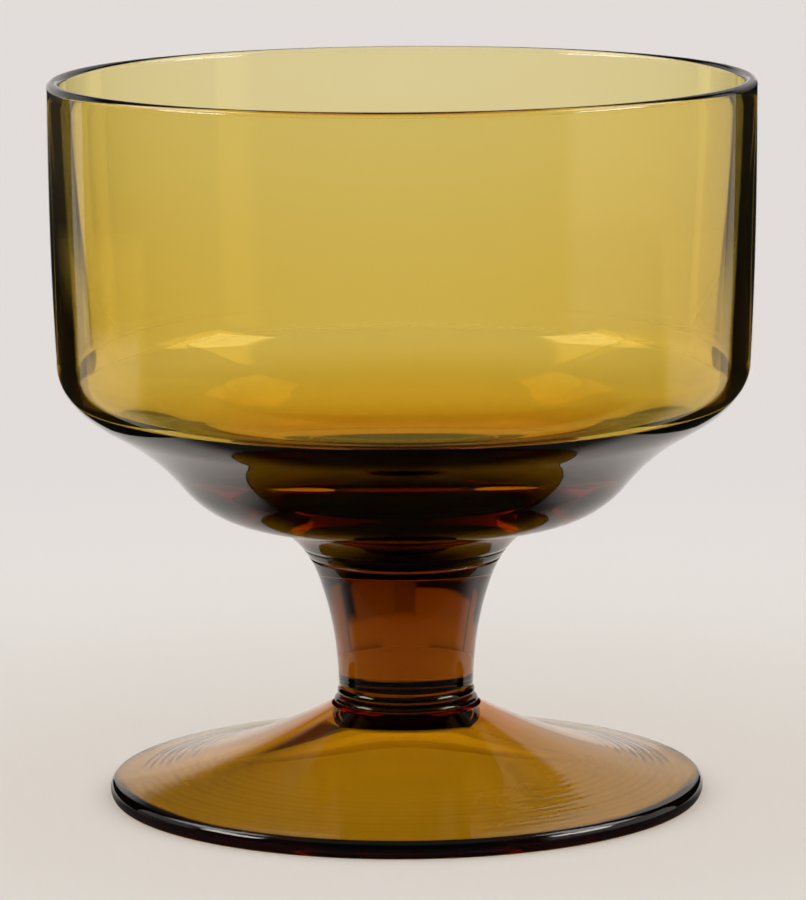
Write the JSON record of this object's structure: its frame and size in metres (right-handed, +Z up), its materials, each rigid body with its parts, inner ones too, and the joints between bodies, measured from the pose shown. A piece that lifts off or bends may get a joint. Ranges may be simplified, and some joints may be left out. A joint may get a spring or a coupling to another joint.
{
  "type": "sherbet glass",
  "caption": "Footed sherbet glass of amber glass: wide straight-sided bowl on a thick stepped base, short waisted stem, ringed collar and a dished spread foot.",
  "frame": {"origin": "middle of the ring that the foot stands on, in the resting plane", "axes": "+Z up along the axis of the glass; X and Y are alike, because every piece is turned about that axis"},
  "size_m": [0.09, 0.09, 0.0924],
  "materials": {
    "amber_glass": "clear polished amber glass"
  },
  "bodies": {
    "root": {"foot": "amber_glass", "collar": "amber_glass", "stem": "amber_glass", "bowl": "amber_glass"}
  },
  "joints": []
}
